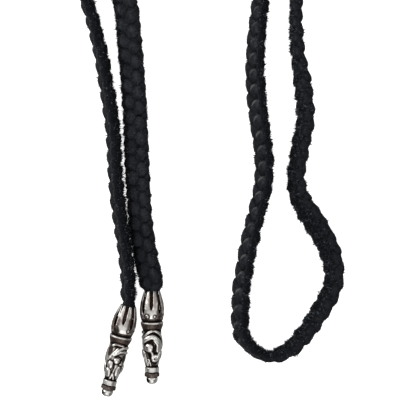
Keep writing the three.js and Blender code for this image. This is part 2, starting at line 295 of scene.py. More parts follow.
def curve_through(points, steps):
    """A centripetal Catmull-Rom curve, with this many steps between two points."""
    ends = np.vstack([2 * points[0] - points[1], points, 2 * points[-1] - points[-2]])
    before, start, stop, after = ends[:-3], ends[1:-2], ends[2:-1], ends[3:]
    knot = np.sqrt(np.linalg.norm(np.diff(ends, axis=0), axis=1))[:, None]
    first, middle, last = knot[:-2], knot[1:-1], knot[2:]
    leave = (start - before) / first - (stop - before) / (first + middle) + (stop - start) / middle
    arrive = (stop - start) / middle - (after - start) / (middle + last) + (after - stop) / last
    leave, arrive = leave * middle, arrive * middle
    t = (np.arange(steps) / steps)[:, None, None]
    square, cube = t * t, t * t * t
    bend = (-3 * start + 3 * stop - 2 * leave - arrive) * square
    curl = (2 * start - 2 * stop + leave + arrive) * cube
    curve = (start + leave * t + bend + curl).transpose(1, 0, 2).reshape(-1, points.shape[1])
    return np.vstack([curve, points[-1]])


route = np.array(INNER_ROUTE + OUTER_ROUTE[1:])
ROUTE_STEPS = 50  # of the curve between two points
middle_line = curve_through(route[:, :2] - ORIGIN, ROUTE_STEPS)
travelled = np.concatenate([[0], np.cumsum(np.linalg.norm(np.diff(middle_line, axis=0), axis=1))])
row_place = np.linspace(0, len(route) - 1, len(middle_line))
rolls = np.radians(np.interp(row_place, np.arange(len(route)), route[:, 2]))
widths = np.interp(row_place, np.arange(len(route)), route[:, 3])
forward = np.gradient(middle_line, travelled, axis=0)
forward /= np.linalg.norm(forward, axis=1)[:, None]
CORD_LENGTH = travelled[-1]
print("cord length", round(CORD_LENGTH, 4))

# %% [markdown]
# ## Round the braid
# A place on the braid is given by how far along the cord it is, the angle round its oval section, and
# how high it stands off that oval. A curve modifier could bend a straight braid along the route, but it
# couldn't lay the braid on the table. So one function turns a place into a point: it lays the oval over
# by the cord's roll, rests it on the table, flattens what would sink into it, and draws the last few
# millimetres in to a round neck that fits the silver cap. The neck swells inside the cap, so that the
# table doesn't show through the slots between its prongs.

# %% Braid section
THICKNESS = 0.0036  # of the braid, through its flat sides
SHOULDER_ACROSS, SHOULDER_THROUGH = 0.7, 0.98  # of its columns, as shares of its half sizes
TABLE_PRESS = 0.0004  # depth to which the table flattens the underside
NECK_RADIUS, NECK_INSIDE = 0.00235, 0.0074  # of the neck that a cap grips, and its length in there
NECK_FILL = 0.0007  # by which the neck swells inside the cap
FILL_LATENESS = 1.5  # power that moves the widest place deeper in
MOUTH_BULGE = 0.0008  # length of leather that the prongs press into
GATHER_LENGTH, RISE_LENGTH = 0.006, 0.016  # over which the braid narrows, and lifts to the cap's middle
CAP_RADIUS = 0.0041  # which is also the height of the cap's middle
LACE_THICKNESS = 0.00105  # in the middle of a lace
WEAVE = 0.00062  # how far a lace climbs over the others, and dips under them
# The oval under the laces, drawn for a braid of one width and stretched to the others
OVAL = {"width": 0.008, "half_across": 0.0034, "half_through": 0.00082, "squareness": 4}
OVAL_POINTS, EVEN_POINTS = 2881, 721  # of the oval as drawn, and spaced evenly along it

angle = np.linspace(0, 2 * np.pi, OVAL_POINTS)
power = 2 / OVAL["squareness"]
oval = np.column_stack([
    OVAL["half_across"] * np.sign(np.cos(angle)) * np.abs(np.cos(angle)) ** power,
    OVAL["half_through"] * np.sign(np.sin(angle)) * np.abs(np.sin(angle)) ** power,
])
oval_length = np.concatenate([[0], np.cumsum(np.linalg.norm(np.diff(oval, axis=0), axis=1))])
ROUND = oval_length[-1]
oval_turn = 2 * np.pi * oval_length / ROUND
even_turn = np.linspace(0, 2 * np.pi, EVEN_POINTS)
oval = np.column_stack([np.interp(even_turn, oval_turn, oval[:, i]) for i in (0, 1)])
slope = np.gradient(np.vstack([oval[-2], oval, oval[1]]), axis=0)[1:-1]
oval_normal = np.column_stack([slope[:, 1], -slope[:, 0]]) / np.linalg.norm(slope, axis=1)[:, None]


def on_braid(along, turn, height):
    """Points on the braid: distance along the cord, angle round it, height off its oval."""
    along = np.clip(along, 0, CORD_LENGTH)
    turn = np.mod(turn, 2 * np.pi)
    oval_across, oval_through, out_across, out_through = [
        np.interp(turn, even_turn, column) for column in (*oval.T, *oval_normal.T)
    ]
    width = np.interp(along, travelled, widths)
    across = (oval_across + height * out_across) * width / OVAL["width"]
    through = oval_through + height * out_through
    from_mouth = np.minimum(along, CORD_LENGTH - along) - NECK_INSIDE + MOUTH_BULGE
    gather = (1 - np.clip(from_mouth / GATHER_LENGTH, 0, 1)) ** 3
    lift = 1 - smooth_step(from_mouth, 0, RISE_LENGTH)
    inside = np.clip(-from_mouth / (NECK_INSIDE - MOUTH_BULGE), 0, 1)
    swell = NECK_FILL * np.sin(np.pi * inside ** FILL_LATENESS)
    neck = NECK_RADIUS + swell - WEAVE - LACE_THICKNESS / 2 + height
    across += (neck * np.cos(turn) - across) * gather
    through += (neck * np.sin(turn) - through) * gather
    roll = np.interp(along, travelled, rolls)
    standing = width / 2 * np.abs(np.sin(roll))
    lying = SHOULDER_THROUGH * THICKNESS / 2 * np.abs(np.cos(roll))
    resting = np.maximum(standing, SHOULDER_ACROSS * standing + lying) - TABLE_PRESS
    level = resting + (CAP_RADIUS - resting) * lift
    outward = across * np.cos(roll) + through * np.sin(roll)
    upward = through * np.cos(roll) - across * np.sin(roll)
    x, y, ahead_x, ahead_y = [
        np.interp(along, travelled, column) for column in (*middle_line.T, *forward.T)
    ]
    return np.stack([x + ahead_y * outward, y - ahead_x * outward, np.maximum(level + upward, 0)], -1)


print("once round the oval", round(ROUND * 1000, 2), "mm")

# %% [markdown]
# ## Four laces
# In a four-lace round plait, two laces wind one way round and two the other, and each goes over one
# and under the next. Seen unrolled, a lace is a straight strip at a slant, and its height off the oval
# is a sine wave that is high in every second column and low between them. The strips could be curves
# with a bevel, but a mesh lets each strip be flat with rounded edges, press against its neighbours,
# and wander a little, as hand-plaited lace does. On the left arm of the loop the plait has turned round
# the cord and is pulled longer, so its crossings lie further along there.

# %% Lace shape
TURN_LENGTH = 0.010208  # of cord, in which a lace goes once round
PHASE = 0.0011  # distance along the cord at which the first lace is at the right edge
LACE_SLANT = math.atan2(ROUND, TURN_LENGTH)
OVERLAP = 1.12  # width of a lace, as a share of what would just cover the braid
LACE_WIDTH = OVERLAP * TURN_LENGTH / 2 * math.sin(LACE_SLANT)
CAMBER = 0.0005  # by which a lace's edges curl down
SHINGLE = 0.0003  # by which its trailing edge lies over the next lace, and its leading edge under
BULGE = 0.16  # share by which a lace spreads where it lies on top
EDGE_POWER, CROWN_POWER = 0.85, 0.8  # which make its section a flat oval
UNEVEN_TURN, UNEVEN_THICKNESS, UNEVEN_WIDTH = math.radians(7), 0.2, 0.07  # of plaiting by hand
TURN_SEED, THICKNESS_SEED, WIDTH_SEED = 10, 20, 30  # of its random draws, to which a lace adds its number
LEFT_ARM = (0.40, 0.45, 0.575, 0.595)  # distances along the cord up to, along and past that arm
PLAIT_TURN = math.radians(68)  # by which the plait is turned round the oval there
SLIP = {
    # how far the crossings have slipped along the cord
    "along": (0.40, 0.53, 0.54, 0.567, 0.585),
    "by": (0, 0.0016, 0.0016, 0.0036, TURN_LENGTH / 2),
}
LACES = (
    # name, which way it winds, where it starts round the oval
    ("lace_1", 1, 0),
    ("lace_2", 1, 180),
    ("lace_3", -1, 90),
    ("lace_4", -1, 270),
)


def wander(along, spacing, seed):
    """A smooth random value from -1 to 1 along the cord."""
    knots = np.random.default_rng(seed).uniform(-1, 1, int(CORD_LENGTH / spacing) + 4)
    place = np.clip(along / spacing + 1, 0, len(knots) - 2)
    whole = place.astype(int)
    share = smooth_step(place - whole, 0, 1)
    return knots[whole] * (1 - share) + knots[whole + 1] * share


def on_left_arm(station):
    """1 along the loop's left arm, and 0 elsewhere."""
    return np.interp(station, LEFT_ARM, (0, 1, 1, 0))


def on_lace(number, station, side, lift=0.0):
    """Points on a lace: distance along its middle, angle round its own flat section, extra height.
    Also gives the distance along the cord, the turn round the braid, the share of the way from the
    lace's middle to an edge, and how far it has come since it rose over the last lace it crosses."""
    hand, start = LACES[number][1:]
    crossing = station - PHASE - np.interp(station, SLIP["along"], SLIP["by"])
    middle = hand * 2 * np.pi * crossing / TURN_LENGTH + math.radians(start)
    middle = middle + UNEVEN_TURN * wander(station, TURN_LENGTH / 2, TURN_SEED + number)
    plump = 1 + UNEVEN_THICKNESS * wander(station, TURN_LENGTH / 3, THICKNESS_SEED + number)
    edge = np.sign(np.cos(side)) * np.abs(np.cos(side)) ** EDGE_POWER
    on_top = -hand * np.sin(2 * middle)
    spread = 1 + BULGE * on_top
    spread = spread + UNEVEN_WIDTH * wander(station, TURN_LENGTH / 4, WIDTH_SEED + number)
    sideways = LACE_WIDTH / 2 * edge * spread
    crown = LACE_THICKNESS / 2 * plump * np.sign(np.sin(side)) * np.abs(np.sin(side)) ** CROWN_POWER
    height = WEAVE * on_top + crown - CAMBER * edge ** 4 + SHINGLE * hand * edge + lift
    leaning = sideways * math.cos(LACE_SLANT) * 2 * np.pi / ROUND
    turn = middle + leaning + PLAIT_TURN * on_left_arm(station)
    risen = np.mod(middle + leaning + np.pi / 4 * (1 - hand), np.pi) - np.pi / 2
    along = station - hand * sideways * math.sin(LACE_SLANT)
    return on_braid(along, turn, height), along, turn, np.broadcast_to(edge, turn.shape), risen


print("lace", round(LACE_WIDTH * 1000, 2), "mm wide at", round(math.degrees(LACE_SLANT)), "degrees")

# %% [markdown]
# ## Grain, suede, wear and painted light
# A lace shows its smooth grain side on the front of the braid. Round the back, at its cut edges and a
# little at the braid's sides it shows suede, which reaches further round on the loop's right arm. The
# grain is worn smooth where it bends round the sides. Where it stands up between the seams it gets a
# paler colour, painted light that leaves the seams dark as painted shade. On the shoulders that stick
# out on the left arm it gets grey strokes, a painted highlight, and inside the silver caps it is
# stained brown. All this could be painted by hand, but formulas reach every crossing at once. Each
# finish and each painted light is a share from 0 to 1, kept with the points of the mesh for the
# material to read.

# %% Lace finishes and painted light
SUEDE_REACH = {
    # how far the suede reaches round one edge, and on the loop's right arm round the other one
    "along": (0.585, 0.61, 0.74, 0.8),
    "angle": np.radians((28, -28, -28, 28)),
}
SUEDE_BACK = (-0.25, 0.35)  # sines of the angle round the back, between which suede takes over
SUEDE_SIDES, SIDES_SHARE = (0.84, 0.97), 0.35  # the same for cosines at the braid's sides
SUEDE_CUT, CUT_SHARE = (0.75, 1.0), 0.3  # the same for the way to a lace's cut edge
WORN_SIDES = (0.55, 0.85)  # cosines between which the grain gets smooth
SEAM_SHADE = (0.5, 0.95)  # part of the way to a lace's edge over which its painted top light fades, leaving the seam dark as painted shade
TOP_LIGHT_STRENGTH = {
    # strength of the paler colour painted as light on the raised grain, which the loop shows less
    "along": (0.01, 0.045, 0.3, 0.45),
    "share": (0.4, 1, 1, 0.4),
}
# painted highlight: grey strokes on the shoulders of the left arm's laces
HIGHLIGHT_START, HIGHLIGHT_END = np.radians((-8, 10)), np.radians((42, 66))  # of a lace's shoulder as it rises
HIGHLIGHT_EDGE = (0.58, 0.8)  # and the way to its edge
HIGHLIGHT_LEAST = 0.4  # share of the painted highlight on its faintest shoulder
HIGHLIGHT_SEED = 50
STAIN_DEPTH = (0.0005, 0.002)  # inside a cap, between which the leather turns brown


def suede_share(station, turn, edge):
    """1 where the lace shows suede: round the back of the braid, and at its cut edges."""
    reach = np.interp(station, SUEDE_REACH["along"], SUEDE_REACH["angle"])
    back = smooth_step(-np.sin(turn + reach), *SUEDE_BACK)
    beside = SIDES_SHARE * smooth_step(np.abs(np.cos(turn)), *SUEDE_SIDES)
    cut = CUT_SHARE * smooth_step(np.abs(edge), *SUEDE_CUT)
    return np.maximum(np.maximum(back, beside), cut)


def finish_and_light_shares(hand, station, along, turn, edge, risen):
    """The share of each finish and each painted light, by the name that the leather's material reads."""
    top_light = np.interp(station, TOP_LIGHT_STRENGTH["along"], TOP_LIGHT_STRENGTH["share"])
    # painted highlight: grey strokes on the rising shoulders of one hand of laces, on the braid's front
    shoulder = smooth_step(risen, *HIGHLIGHT_START) * (1 - smooth_step(risen, *HIGHLIGHT_END))
    highlight = shoulder * smooth_step(-edge, *HIGHLIGHT_EDGE) * (hand < 0) * (np.sin(turn) > 0)
    uneven = (1 + HIGHLIGHT_LEAST) / 2 + (1 - HIGHLIGHT_LEAST) / 2 * wander(station, TURN_LENGTH / 2, HIGHLIGHT_SEED)
    depth_in_cap = NECK_INSIDE - np.minimum(along, CORD_LENGTH - along)
    return {
        "suede": suede_share(station, turn, edge),
        "worn": smooth_step(np.abs(np.cos(turn)), *WORN_SIDES),
        # painted light: paler in a lace's middle, fading to dark seams that stand in for shade
        "raised": (1 - smooth_step(np.abs(edge), *SEAM_SHADE)) * top_light,
        "painted_highlight": highlight * on_left_arm(station) * uneven,
        "stained": smooth_step(depth_in_cap, *STAIN_DEPTH),
    }


print("left arm of the loop", round(LEFT_ARM[2] - LEFT_ARM[1], 3), "m long")

# %% [markdown]
# ## Lace meshes
# Each lace is a tube of rings, one after the other along the cord. The rings stand closer together in
# the picture than round the neck, which saves half the points there. Suede is uneven, so its points
# are moved a little at random, which also makes the cord's fuzzy sides ragged.

# %% Lace meshes
STEPS_ROUND = 30  # rings in a turn of a lace
NECK_FINENESS = 0.5  # of the rings round the neck, as a share
LACE_SIDES = 16  # points in a ring
RAGGED = 0.00018  # unevenness of suede
RAGGED_SEED = 40
VIEW_REACH = 0.52  # from the view's middle to just past its edge, as a share of its width


def in_view(y):
    """True up to the view's upper edge, past which the cord goes on round the neck."""
    return y < view_middle.y + VIEW_REACH * VIEW_WIDTH


def quads(a, b, c, d):
    """Faces of four points, from four arrays of their numbers."""
    return np.stack([a, b, c, d], -1).reshape(-1, 4)


def grid_faces(rows, columns):
    """Faces between rings of points, each ring closed on itself."""
    ring, side = np.meshgrid(np.arange(rows - 1), np.arange(columns), indexing="ij")
    beside = (side + 1) % columns
    here, ahead = ring * columns, (ring + 1) * columns
    return quads(here + side, here + beside, ahead + beside, ahead + side)


leather, leather_tree = new_material("black deerskin")
fineness = STEPS_ROUND / TURN_LENGTH * np.where(in_view(middle_line[:, 1]), 1, NECK_FINENESS)
rings_passed = np.concatenate([[0], np.cumsum(fineness[1:] * np.diff(travelled))])
stations = np.interp(np.arange(rings_passed[-1]), rings_passed, travelled)[:, None]
sides = np.arange(LACE_SIDES) * 2 * np.pi / LACE_SIDES
laces = []
for number, (name, hand, start) in enumerate(LACES):
    along, turn, edge, risen = on_lace(number, stations, sides)[1:]
    shares = finish_and_light_shares(hand, stations, along, turn, edge, risen)
    draw = np.random.default_rng(RAGGED_SEED + number)
    ragged = RAGGED * shares["suede"] * draw.normal(size=turn.shape)
    points = on_lace(number, stations, sides, ragged)[0]
    lace = mesh_piece(name, points.reshape(-1, 3), grid_faces(len(stations), LACE_SIDES), leather)
    for finish, share in shares.items():
        give_value(lace, finish, share)
    laces.append(lace)

# %% [markdown]
# ## Black deerskin
# Deerskin lace is cut from a soft hide that is dyed through. Its grain side is smooth, with a fine
# pebble and a dull shine, and its flesh side and cut edges are suede, which scatters light. A picture of
# leather could be wrapped round each lace, but noise at the size of real grain needs no unwrapping and
# stays sharp close to. The shares kept with the points say which finish and which painted light shows,
# and the shader blends them. Where a lace folds round the braid's side it is stretched and worn smooth,
# so it shines there.

# %% Leather patterns
PATTERNS = (
    # name, size, detail
    ("pebble", 0.0005, 4.0),  # grain of the hide, about twice its real size so that it shows
    ("crease", 0.0022, 2.0),  # soft creases where the lace bends
    ("mottle", 0.004, 3.0),  # uneven dye
)
FINISH_AND_LIGHT_NAMES = ("suede", "worn", "raised", "painted_highlight", "stained")

leather_place = add_node(leather_tree, "ShaderNodeTexCoord")
pattern = {}
for name, size, detail in PATTERNS:
    noise = add_node(
        leather_tree, "ShaderNodeTexNoise",
        Vector=leather_place.outputs["Object"], Scale=1 / size, Detail=detail)
    pattern[name] = noise.outputs["Fac"]
shown = {}
for name in FINISH_AND_LIGHT_NAMES:
    kept_share = add_node(leather_tree, "ShaderNodeAttribute", {"attribute_name": name})
    shown[name] = kept_share.outputs["Fac"]
print("leather has patterns", *pattern, "and finishes", *shown)

# %% Leather material
# Dyed deerskin gives the eye a soft near-black: grain with a dull shine, and suede with none. Lace tops
# get a paler colour as painted light, and the left arm's shoulders get grey strokes as painted highlights
speckle = add_node(
    leather_tree, "ShaderNodeMath", {"operation": "MULTIPLY_ADD"},
    i0=pattern["mottle"], i1=0.4, i2=pattern["pebble"])
speckle_share = add_node(
    leather_tree, "ShaderNodeMapRange", Value=speckle.outputs[0], From_Min=0.57, From_Max=0.95)
# painted light: the speckled paler colour shows only on lace tops, which leaves the seams dark as painted
# shade
painted_light_share = add_node(
    leather_tree, "ShaderNodeMath", {"operation": "MULTIPLY"},
    i0=speckle_share.outputs[0], i1=shown["raised"])
skin_colour = add_node(
    leather_tree, "ShaderNodeMix", {"data_type": "RGBA"},
    i0=painted_light_share.outputs[0], i6=colour("#030304"), i7=colour("#323338"))
suede_colour = add_node(
    leather_tree, "ShaderNodeMix", {"data_type": "RGBA"},
    i0=pattern["pebble"], i6=colour("#030304"), i7=colour("#101114"))
finish_and_light_colours = (
    # each lies over the ones before it
    ("suede", suede_colour.outputs[2]),
    # grey strokes painted as highlights on the left arm's shoulders
    ("painted_highlight", colour("#646561")),
    ("stained", colour("#3e271f")),
)
for name, mark_colour in finish_and_light_colours:
    skin_colour = add_node(
        leather_tree, "ShaderNodeMix", {"data_type": "RGBA"},
        i0=shown[name], i6=skin_colour.outputs[2], i7=mark_colour)
grain_roughness = add_node(
    leather_tree, "ShaderNodeMapRange", Value=shown["worn"], To_Min=0.5, To_Max=0.26)
skin_roughness = add_node(
    leather_tree, "ShaderNodeMix", {"data_type": "FLOAT"},
    i0=shown["suede"], i2=grain_roughness.outputs[0], i3=0.95)
grain_height = add_node(
    leather_tree, "ShaderNodeMath", {"operation": "MULTIPLY_ADD"},
    i0=pattern["pebble"], i1=0.8, i2=pattern["crease"])
grain_depth = add_node(
    leather_tree, "ShaderNodeMapRange", Value=shown["worn"], To_Min=1.0, To_Max=0.2)
skin_bump = add_node(
    leather_tree, "ShaderNodeBump",
    Strength=grain_depth.outputs[0], Distance=0.0004, Height=grain_height.outputs[0])
skin = add_node(
    leather_tree, "ShaderNodeBsdfPrincipled",
    Base_Color=skin_colour.outputs[2], Roughness=skin_roughness.outputs[0],
    Normal=skin_bump.outputs[0], Specular_IOR_Level=0.22, Specular_Tint=colour("#e4ecff"))
add_node(leather_tree, "ShaderNodeOutputMaterial", Surface=skin.outputs[0])
print("leather nodes", len(leather_tree.nodes))

# %% [markdown]
# ## Suede nap
# The back of the cord is fuzzy: short fibres stand out of the suede, and ragged tufts hang at its cut
# edges. Particle hair would not export, so each fibre is a thin three-sided spike in a joined mesh. A
# real fibre is about 0.02 mm thick, too fine to show here, so these are drawn a few times as thick.
# Places are drawn at random and kept as often as suede shows there. The stretch of cord round the neck,
# which lies outside the picture, gets fewer of them. Fibres that lie together form locks, each with a
# shade of its own.

# %% Nap material
# Loose suede fibres give the eye a dull fuzz, and the palest of them look like dust on the black
nap_material, nap_tree = new_material("suede nap")
fibre_shade = add_node(nap_tree, "ShaderNodeAttribute", {"attribute_name": "shade"})
fibre_colour = add_node(
    nap_tree, "ShaderNodeMix", {"data_type": "RGBA"},
    i0=fibre_shade.outputs["Fac"], i6=colour("#08090a"), i7=colour("#60656e"))
fibre = add_node(
    nap_tree, "ShaderNodeBsdfPrincipled",
    Base_Color=fibre_colour.outputs[2], Roughness=0.9, Specular_IOR_Level=0.2)
add_node(nap_tree, "ShaderNodeOutputMaterial", Surface=fibre.outputs[0])
print("nap nodes", len(nap_tree.nodes))

# %% Fibres
FIBRE_RADIUS, TUFT_RADIUS = 0.00006, 0.0002
FIBRE_LENGTH, TUFT_LENGTH = (0.0002, 0.0007), (0.0003, 0.0009)
TUFT_SHARE = 0.14
FIBRE_LEAN = 0.5  # spread of the tips, as a share of the length
ROOT_DEPTH = 0.0001  # in the leather
TABLE_GAP = 0.0001  # least height of a tip over the table
TRIES = 6  # places drawn for each fibre, because most don't show suede
BURIED = -0.2  # sine of the way since a lace rose, up to which it lies under another
NECK_DENSITY = 0.35  # round the neck, as a share of the rest
THREE_SIDES = np.radians((0, 120, 240))


def fibres(first, last, count, seed):
    """Roots, tips and thickness of fibres, drawn where the laces show suede."""
    draw = np.random.default_rng(seed)
    tries = TRIES * count
    station = draw.uniform(first, last, tries)
    side = draw.uniform(0.0, np.pi, tries)
    number = draw.integers(0, len(LACES), tries)
    is_tuft = draw.random(tries) < TUFT_SHARE
    length = np.where(is_tuft, draw.uniform(*TUFT_LENGTH, tries), draw.uniform(*FIBRE_LENGTH, tries))
    root, tip = np.zeros((tries, 3)), np.zeros((tries, 3))
    share = np.zeros(tries)
    for lace in range(len(LACES)):
        own = number == lace
        root[own], along, turn, edge, risen = on_lace(lace, station[own], side[own], -ROOT_DEPTH)
        tip[own] = on_lace(lace, station[own], side[own], length[own])[0]
        share[own] = suede_share(station[own], turn, edge) * (np.sin(2 * risen) > BURIED)
    share *= np.where(in_view(root[:, 1]), 1, NECK_DENSITY)
    kept = np.flatnonzero(draw.random(tries) < share)[:count]
    tip = tip[kept] + draw.normal(0, FIBRE_LEAN, (len(kept), 3)) * length[kept, None]
    tip[:, 2] = np.maximum(tip[:, 2], TABLE_GAP)
    return root[kept], tip, np.where(is_tuft[kept], TUFT_RADIUS, FIBRE_RADIUS)


def spikes(root, tip, radius, seed):
    """A three-sided spike from each root to its tip."""
    draw = np.random.default_rng(seed)
    way = tip - root
    side = np.cross(way, draw.normal(size=way.shape))
    side *= (radius / np.linalg.norm(side, axis=1))[:, None]
    other = np.cross(way, side)
    other *= (radius / np.linalg.norm(other, axis=1))[:, None]
    foot = [root + math.cos(turn) * side + math.sin(turn) * other for turn in THREE_SIDES]
    points = np.stack([*foot, tip], 1)
    points[:, :, 2] = np.maximum(points[:, :, 2], 0)
    faces = np.array(((0, 1, 3), (1, 2, 3), (2, 0, 3)))[None] + 4 * np.arange(len(root))[:, None, None]
    return points.reshape(-1, 3), faces.reshape(-1, 3)


print("fibres up to", FIBRE_LENGTH[1] * 1000, "mm long, tufts up to", TUFT_LENGTH[1] * 1000, "mm")

# %% Nap
LOCK_SIZE = 0.0011  # of fibres that lie together and share a shade
LOCK_SHADES, LOCK_STEPS = 997, (7, 61, 389)  # shades drawn, and steps that scatter them over the locks
LOCK_LEAST = 0.35  # added to each lock's shade
PLACE_SEED, SPIKE_SEED, SHADE_SEED = 100, 200, 300
BARE_NECK = NECK_INSIDE + 0.0025  # length without nap at the cord's ends
NAP = (
    # name, from, to, fibres
    ("suede_nap_inner", BARE_NECK, CORD_LENGTH / 2, 60000),
    ("suede_nap_outer", CORD_LENGTH / 2, CORD_LENGTH - BARE_NECK, 60000),
)
nap = []
for number, (name, first, last, count) in enumerate(NAP):
    root, tip, radius = fibres(first, last, count, PLACE_SEED + number)
    piece = mesh_piece(name, *spikes(root, tip, radius, SPIKE_SEED + number), nap_material)
    draw = np.random.default_rng(SHADE_SEED + number)
    lock = np.floor(root / LOCK_SIZE).astype(int) @ LOCK_STEPS % LOCK_SHADES
    shade = draw.random(len(root)) ** 2 * (LOCK_LEAST + draw.random(LOCK_SHADES)[lock])
    give_value(piece, "shade", np.repeat(np.clip(shade, 0, 1), 4))
    nap.append(piece)

# %% [markdown]
# ## Stray hairs
# Here and there a longer thread has worked loose and hangs off the cord. A curve with a bevel would do
# for one of them. As they are many and very thin, each is a three-sided bent tube that narrows to its
# end, and all of them are one mesh.

# %% Hairs
HAIRS, HAIR_SEED = 90, 400
HAIR_RADIUS, HAIR_LENGTH = 0.00005, (0.001, 0.0032)
HAIR_STEPS = 6  # rings of points along a hair
HAIR_RISE = 0.3  # of the way up that its fibre would take, so that a hair lies flatter
HAIR_BEND = 0.8  # most that it bends sideways, as a share of its length
HAIR_TAPER = 0.7  # share of its thickness that is lost at its end


def hairs(count, seed):
    """Bent tubes that start in the suede and lie out over the table."""
    draw = np.random.default_rng(seed)
    root, tip = fibres(BARE_NECK, CORD_LENGTH - BARE_NECK, count, seed)[:2]
    count = len(root)
    way = (tip - root) * (1, 1, HAIR_RISE)
    way *= (draw.uniform(*HAIR_LENGTH, count) / np.linalg.norm(way, axis=1))[:, None]
    bend = np.cross(way, (0, 0, 1)) * draw.uniform(-HAIR_BEND, HAIR_BEND, count)[:, None]
    side = np.cross(way, (0, 0, 1))
    side *= (HAIR_RADIUS / np.linalg.norm(side, axis=1))[:, None]
    share = np.linspace(0, 1, HAIR_STEPS)[None, :, None]
    middle = root[:, None] + way[:, None] * share + bend[:, None] * share ** 2
    middle[:, :, 2] = np.maximum(middle[:, :, 2], HAIR_RADIUS)
    rings = []
    for turn in THREE_SIDES:
        around = math.cos(turn) * side[:, None] + (0, 0, HAIR_RADIUS * math.sin(turn))
        rings.append(middle + (1 - HAIR_TAPER * share) * around)
    points = np.stack(rings, 2)
    faces = grid_faces(HAIR_STEPS, 3)[None] + 3 * HAIR_STEPS * np.arange(count)[:, None, None]
    return points.reshape(-1, 3), faces.reshape(-1, 4)


loose_hairs = mesh_piece("stray_hairs", *hairs(HAIRS, HAIR_SEED), nap_material)
nap.append(loose_hairs)

# %% [markdown]
# ## The cast tips
# Each tip is one casting: a tulip cap of eight prongs round a socket, a collar, a body with scrollwork,
# two rings and a bullet end. It could be sculpted, but its outline and every scroll are simple to write
# down, so the tip is a grid of points, along the axis and round it, whose radius is the outline plus
# the relief. The grid is split at the eight slots, so that each prong has its own clean edges.

# %% Tip outline
TIP_LENGTH = 0.031
PRONGS = 8
SLOT_WIDTH = 0.00125
SLOT_DEPTHS = (0.0062, 0.0074) * (PRONGS // 2)  # short and long by turns
SLOT_FOOT = 0.0018  # length over which a slot rounds off
ROW_STEP = 0.0001  # between rows of the grid
PRONG_COLUMNS = 18  # of the grid on each prong
SLACK = 1e-9  # for the last digit of a distance
TIP_OUTLINE = np.array((
    # along, radius
    (0, 0.00275),
    (0.002, 0.00335),
    (0.004, 0.0039),
    (0.006, 0.0041),
    (0.008, 0.00405),
    (0.0096, 0.0036),
    (0.0102, 0.0034),
    (0.0105, 0.0038),
    (0.011, 0.0038),
    (0.012, 0.0035),
    (0.013, 0.0031),
    (0.0145, 0.00315),
    (0.0175, 0.0033),
    (0.0205, 0.003),
    (0.023, 0.0026),
    (0.0251, 0.00205),
    (0.0255, 0.00235),
    (0.0268, 0.00235),
    (0.0271, 0.0022),
    (0.0274, 0.0025),
    (0.0284, 0.0025),
    (0.0287, 0.0018),
    (0.0293, 0.00195),
    (0.0302, 0.0018),
    (0.0308, 0.0013),
    (0.03099, 0.0007),
    (0.031, 0),
))
tip_rows = np.linspace(0, TIP_LENGTH, int(round(TIP_LENGTH / ROW_STEP)) + 1)
tip_radius = np.interp(tip_rows, *TIP_OUTLINE.T)


def slot_half(along, depth):
    """Half the width of a slot at a place along the tip: straight sides and a long round foot."""
    past = np.clip((along - depth) / SLOT_FOOT + 1, 0, 1)
    return np.where(along < depth - SLACK, SLOT_WIDTH / 2 * np.sqrt(1 - past * past), 0)


def prong_turns(rows, radius):
    """Angle round the tip of each point of the grid, as rows, prongs and columns."""
    least_radius = np.maximum(radius, SLOT_WIDTH)
    opening = np.stack([np.arcsin(slot_half(rows, depth) / least_radius) for depth in SLOT_DEPTHS], 1)
    step = 2 * np.pi / PRONGS
    first = np.arange(PRONGS) * step + opening
    last = (np.arange(PRONGS) + 1) * step - np.roll(opening, -1, axis=1)
    share = np.linspace(0, 1, PRONG_COLUMNS + 1)
    return first[:, :, None] + (last - first)[:, :, None] * share


tip_turns = prong_turns(tip_rows, tip_radius)
print("tip grid", tip_turns.shape)

# %% [markdown]
# ## Scrollwork
# Ridges follow a few points each, beads stand between them, and pits are sunk. Each is a stroke or a
# spot on the unrolled surface with a rounded height. The cap's foot carries round eyes, each a low disc
# with a groove. The main strokes are in the part's source too, and the finest marks, the grooves of the
# eyes and the rounded edges of the prongs, are only here.

# %% Relief tables
RIDGES = (
    # name, width, rise, points of distance along the tip and angle round it
    ("outer arc", 0.00085, 0.00034,
     ((0.0167, 166), (0.0154, 205), (0.0153, 250), (0.0156, 290), (0.0152, 309))),
    ("front arc", 0.00085, 0.00034, ((0.0152, 309), (0.0135, 348), (0.013, 374), (0.0136, 399))),
    ("side arc", 0.00085, 0.00034, ((0.0136, 39), (0.0149, 68), (0.017, 85), (0.0192, 88))),
    ("crescent", 0.0015, 0.0005,
     ((0.0164, -49), (0.0156, -25), (0.0151, 6), (0.016, 35), (0.0176, 54), (0.0192, 60))),
    ("flank of the crescent", 0.0015, 0.00042, ((0.0163, 25), (0.0175, 42), (0.0196, 46))),
    ("comma", 0.0014, 0.00055, ((0.0203, -5), (0.0217, 7), (0.0225, 24), (0.0219, 44), (0.0204, 58))),
    ("leaf", 0.00085, 0.0004, ((0.0202, -58), (0.0224, -57), (0.0246, -58))),
    ("vein of the leaf", 0.0005, 0.0003, ((0.0204, -46), (0.0224, -42), (0.0244, -44))),
    ("right leg", 0.0006, 0.0003, ((0.0227, -20), (0.025, -6))),
    ("left leg", 0.0006, 0.0003, ((0.0227, -23), (0.025, -38))),
    ("back arc", 0.0008, 0.00034, ((0.0148, 128), (0.0139, 142), (0.0131, 164), (0.013, 190), (0.0132, 212))),
    ("slant", 0.0006, 0.0003, ((0.0188, 132), (0.0164, 160), (0.0144, 184))),
    ("broad arc", 0.001, 0.0004, ((0.016, 182), (0.0146, 200), (0.0139, 222), (0.0138, 268))),
    ("back right leg", 0.0006, 0.0003, ((0.0229, 190), (0.025, 208))),
    ("back left leg", 0.0006, 0.0003, ((0.0229, 190), (0.025, 172))),
)
